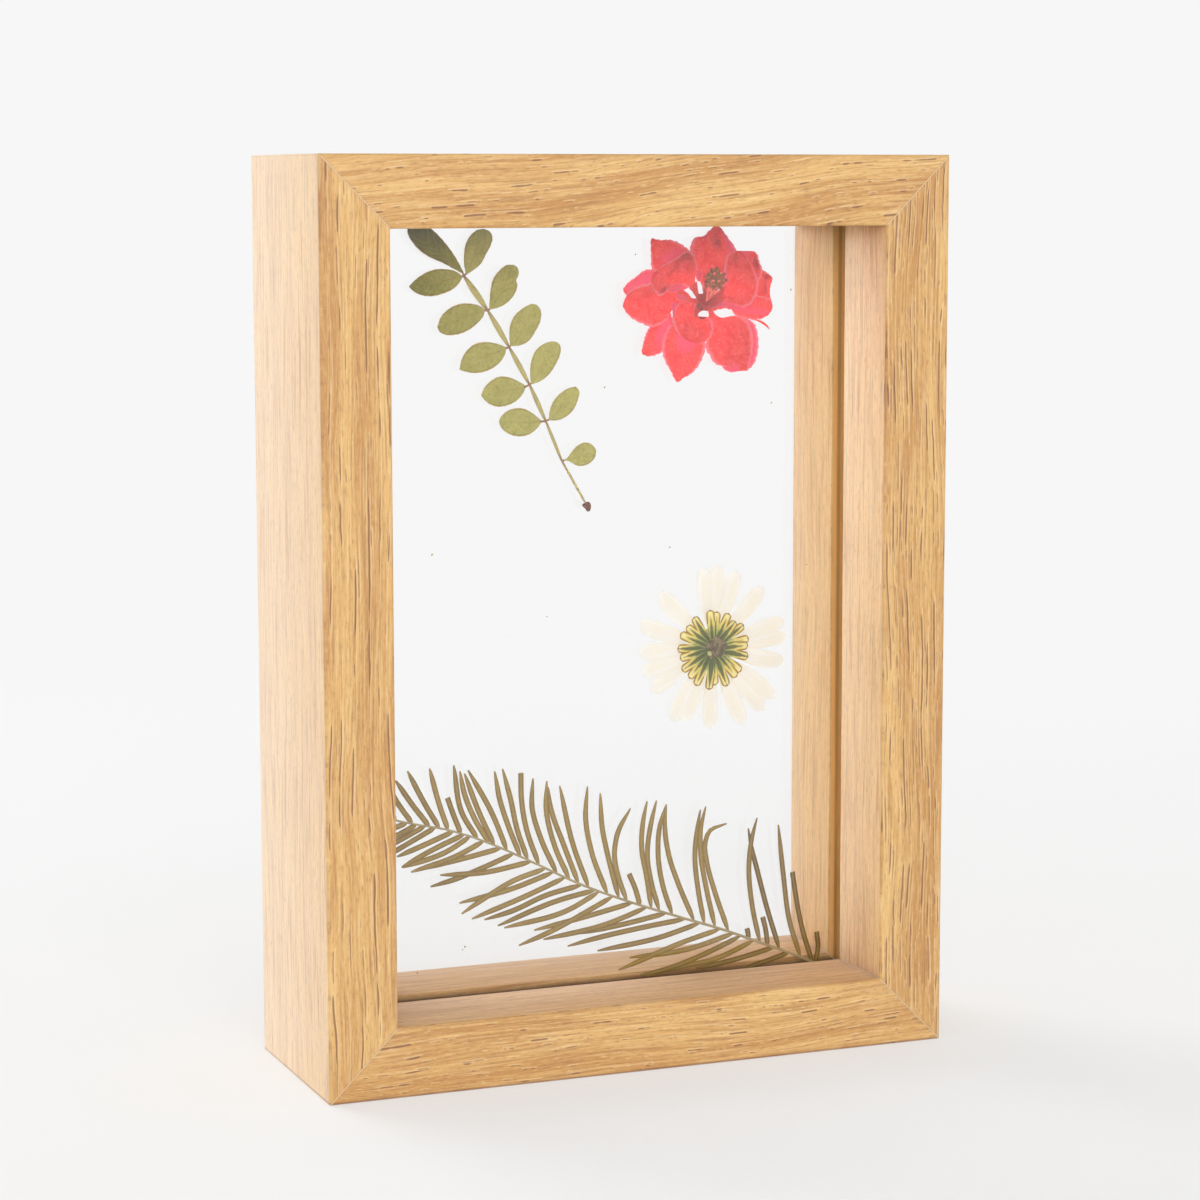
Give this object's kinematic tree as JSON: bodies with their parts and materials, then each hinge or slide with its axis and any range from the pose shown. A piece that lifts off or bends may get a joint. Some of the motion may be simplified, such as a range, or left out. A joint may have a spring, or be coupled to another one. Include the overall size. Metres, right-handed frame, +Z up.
{
  "type": "pressed flower frame",
  "caption": "Free-standing mitred oak frame holding pressed leaves, flowers and a needle frond between two clear panes.",
  "frame": {"origin": "middle of the frame's foot, half way through its depth", "axes": "+Z up, front face towards -Y, +X to the right seen from the front"},
  "size_m": [0.13, 0.045, 0.179],
  "materials": {
    "oak": "oiled, satin, fine open grain",
    "pane_glass": "clear, polished",
    "olive_leaf": "dried leaf, matte, fine veins",
    "leaf_stem": "dried stem, matte",
    "red_petal": "dried petal, thin, lets light through",
    "brown_floret": "dried, rough",
    "pale_ray": "dried white petal, thin, lets light through",
    "daisy_bract": "dried green and yellow bract, matte",
    "dried_needle": "dried needle, matte"
  },
  "bodies": {
    "root": {"left_stile": "oak", "right_stile": "oak", "top_rail": "oak", "bottom_rail": "oak", "front_pane": "pane_glass", "back_pane": "pane_glass", "sprig_stem": "leaf_stem", "leaflet_01": "olive_leaf", "leaflet_02": "olive_leaf", "leaflet_03": "olive_leaf", "leaflet_04": "olive_leaf", "leaflet_05": "olive_leaf", "leaflet_06": "olive_leaf", "leaflet_07": "olive_leaf", "leaflet_08": "olive_leaf", "leaflet_09": "olive_leaf", "leaflet_10": "olive_leaf", "leaflet_11": "olive_leaf", "leaflet_12": "olive_leaf", "petal_top": "red_petal", "petal_upper_left": "red_petal", "petal_inner_left": "red_petal", "petal_left_small": "red_petal", "petal_left": "red_petal", "petal_lower_left": "red_petal", "petal_bottom_left": "red_petal", "petal_bottom_centre": "red_petal", "petal_bottom_right": "red_petal", "petal_bottom_right_under": "red_petal", "petal_right_lower": "red_petal", "petal_right": "red_petal", "petal_upper_right": "red_petal", "petal_far_right": "red_petal", "spur": "red_petal", "stamens": "brown_floret", "pistil": "brown_floret", "daisy_head": "daisy_bract", "ray_01": "pale_ray", "ray_02": "pale_ray", "ray_03": "pale_ray", "ray_04": "pale_ray", "ray_05": "pale_ray", "ray_06": "pale_ray", "ray_07": "pale_ray", "ray_08": "pale_ray", "ray_09": "pale_ray", "ray_10": "pale_ray", "ray_11": "pale_ray", "ray_12": "pale_ray", "ray_13": "pale_ray", "ray_14": "pale_ray", "ray_15": "pale_ray", "ray_16": "pale_ray", "ray_17": "pale_ray", "ray_18": "pale_ray", "frond": "dried_needle"}
  },
  "joints": []
}
